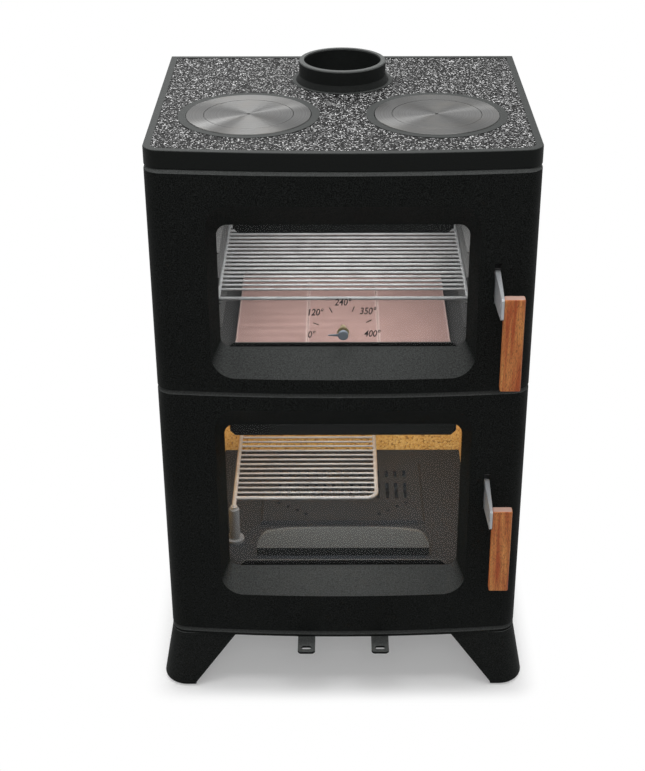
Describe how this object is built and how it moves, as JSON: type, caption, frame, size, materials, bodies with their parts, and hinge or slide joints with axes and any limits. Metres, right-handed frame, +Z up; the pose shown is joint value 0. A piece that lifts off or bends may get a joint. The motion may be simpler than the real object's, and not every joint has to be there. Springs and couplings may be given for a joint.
{
  "type": "wood cookstove",
  "caption": "Free-standing wood-burning cookstove: hobs and flue collar on top, glazed oven door above a glazed firebox door, flared legs.",
  "frame": {"origin": "on the floor under the middle of the stove", "axes": "+Z up, the doors face -Y, +X to the right of someone facing the doors"},
  "size_m": [0.6578, 0.604, 1.0565],
  "materials": {
    "black_stove_paint": "heat-resistant black paint over fine sand-cast texture",
    "cooktop_enamel": "grey cast plate with a speckled field and a smooth border",
    "turned_steel": "lathe-turned discs with fine rings",
    "polished_steel": "laser-cut plate, brushed",
    "grip_wood": "oiled reddish hardwood",
    "window_glass": "clear ceramic glass",
    "seal_rope": "grey glass-fibre rope",
    "oven_steel": "dark grey painted sheet",
    "casing_sheet": "black painted sheet, satin",
    "chromed_wire": "bright welded wire",
    "oven_stone": "pinkish refractory tile",
    "vermiculite": "pressed golden flakes",
    "bare_cast_iron": "unpainted, sand cast",
    "coil_brass": "pale turned brass",
    "zinc_screw": "zinc plated",
    "galvanised_sheet": "rolled sheet"
  },
  "bodies": {
    "stove": {"ash_box": "galvanised_sheet", "back_panel": "casing_sheet", "baffle_plate": "vermiculite", "base_plate": "black_stove_paint", "casing_screws": "zinc_screw", "cooktop_plate": "cooktop_enamel", "fire_back": "vermiculite", "fire_grate": "bare_cast_iron", "fire_side_left": "vermiculite", "fire_side_right": "vermiculite", "firebox_floor": "bare_cast_iron", "flue_collar": "black_stove_paint", "front_frame": "black_stove_paint", "grill_socket": "chromed_wire", "hinge_pins": "zinc_screw", "hinge_plate": "oven_steel", "latch_catches": "oven_steel", "leg_bolts": "zinc_screw", "leg_front_left": "black_stove_paint", "leg_front_right": "black_stove_paint", "leg_rear_left": "black_stove_paint", "leg_rear_right": "black_stove_paint", "log_retainer": "bare_cast_iron", "oven_box": "oven_steel", "oven_stone_left": "oven_stone", "oven_stone_middle": "oven_stone", "oven_stone_right": "oven_stone", "rack_guide_left": "oven_steel", "rack_guide_right": "oven_steel", "side_panel_left": "casing_sheet", "side_panel_right": "casing_sheet"},
    "ash_drawer": {"ash_drawer": "galvanised_sheet"},
    "barbecue_grill": {"barbecue_grill": "chromed_wire"},
    "hob_lid_left": {"hob_lid_left": "turned_steel"},
    "hob_lid_right": {"hob_lid_right": "turned_steel"},
    "hob_ring_left": {"hob_ring_left": "turned_steel"},
    "hob_ring_right": {"hob_ring_right": "turned_steel"},
    "lower_door": {"lower_door_frame": "black_stove_paint", "lower_door_glass": "window_glass", "lower_door_seal": "seal_rope", "lower_glass_clips": "black_stove_paint", "lower_glass_seal": "seal_rope", "lower_latch_bracket": "oven_steel"},
    "lower_handle": {"lower_grip_screws": "zinc_screw", "lower_handle_grip": "grip_wood", "lower_handle_lever": "polished_steel"},
    "oven_rack": {"oven_rack": "chromed_wire"},
    "primary_air_lever": {"primary_air_lever": "black_stove_paint"},
    "secondary_air_lever": {"secondary_air_lever": "black_stove_paint"},
    "upper_door": {"thermometer_hub": "coil_brass", "upper_door_frame": "black_stove_paint", "upper_door_glass": "window_glass", "upper_door_seal": "seal_rope", "upper_glass_clips": "black_stove_paint", "upper_glass_seal": "seal_rope", "upper_latch_bracket": "oven_steel"},
    "thermometer_needle": {"thermometer_needle": "zinc_screw"},
    "upper_handle": {"upper_grip_screws": "zinc_screw", "upper_handle_grip": "grip_wood", "upper_handle_lever": "polished_steel"}
  },
  "joints": [
    {"name": "upper_door_swing", "type": "hinge", "parent": "stove", "child": "upper_door", "pos_m": [-0.2982, -0.206, 0.794], "axis": [0, 0, -1], "range_deg": [0, 110]},
    {"name": "lower_door_swing", "type": "hinge", "parent": "stove", "child": "lower_door", "pos_m": [-0.2982, -0.206, 0.3555], "axis": [0, 0, -1], "range_deg": [0, 110]},
    {"name": "upper_handle_lift", "type": "hinge", "parent": "upper_door", "child": "upper_handle", "pos_m": [0.2465, -0.2, 0.7935], "axis": [-1, 0, 0], "range_deg": [0, 20]},
    {"name": "lower_handle_lift", "type": "hinge", "parent": "lower_door", "child": "lower_handle", "pos_m": [0.2465, -0.2, 0.402], "axis": [-1, 0, 0], "range_deg": [0, 20]},
    {"name": "thermometer_turn", "type": "hinge", "parent": "upper_door", "child": "thermometer_needle", "pos_m": [0, -0.206, 0.6985], "axis": [0, 1, 0], "range_deg": [0, 180]},
    {"name": "hob_ring_left_lift", "type": "slide", "parent": "stove", "child": "hob_ring_left", "axis": [0, 0, 1], "range_m": [0, 0.06]},
    {"name": "hob_lid_left_lift", "type": "slide", "parent": "hob_ring_left", "child": "hob_lid_left", "axis": [0, 0, 1], "range_m": [0, 0.06]},
    {"name": "hob_ring_right_lift", "type": "slide", "parent": "stove", "child": "hob_ring_right", "axis": [0, 0, 1], "range_m": [0, 0.06]},
    {"name": "hob_lid_right_lift", "type": "slide", "parent": "hob_ring_right", "child": "hob_lid_right", "axis": [0, 0, 1], "range_m": [0, 0.06]},
    {"name": "primary_air_pull", "type": "slide", "parent": "stove", "child": "primary_air_lever", "axis": [0, -1, 0], "range_m": [0, 0.015]},
    {"name": "secondary_air_pull", "type": "slide", "parent": "stove", "child": "secondary_air_lever", "axis": [0, -1, 0], "range_m": [0, 0.015]},
    {"name": "oven_rack_pull", "type": "slide", "parent": "stove", "child": "oven_rack", "axis": [0, -1, 0], "range_m": [0, 0.155]},
    {"name": "ash_drawer_pull", "type": "slide", "parent": "stove", "child": "ash_drawer", "axis": [0, -1, 0], "range_m": [0, 0.195]},
    {"name": "barbecue_grill_swing", "type": "hinge", "parent": "stove", "child": "barbecue_grill", "pos_m": [-0.201, -0.078, 0.283], "axis": [0, 0, -1], "range_deg": [0, 92]}
  ],
  "couplings": [
    {"joint": "oven_rack_pull", "follows": "upper_door_swing", "m_per_rad": 0.08},
    {"joint": "ash_drawer_pull", "follows": "lower_door_swing", "m_per_rad": 0.1},
    {"joint": "barbecue_grill_swing", "follows": "lower_door_swing", "ratio": 0.82}
  ]
}
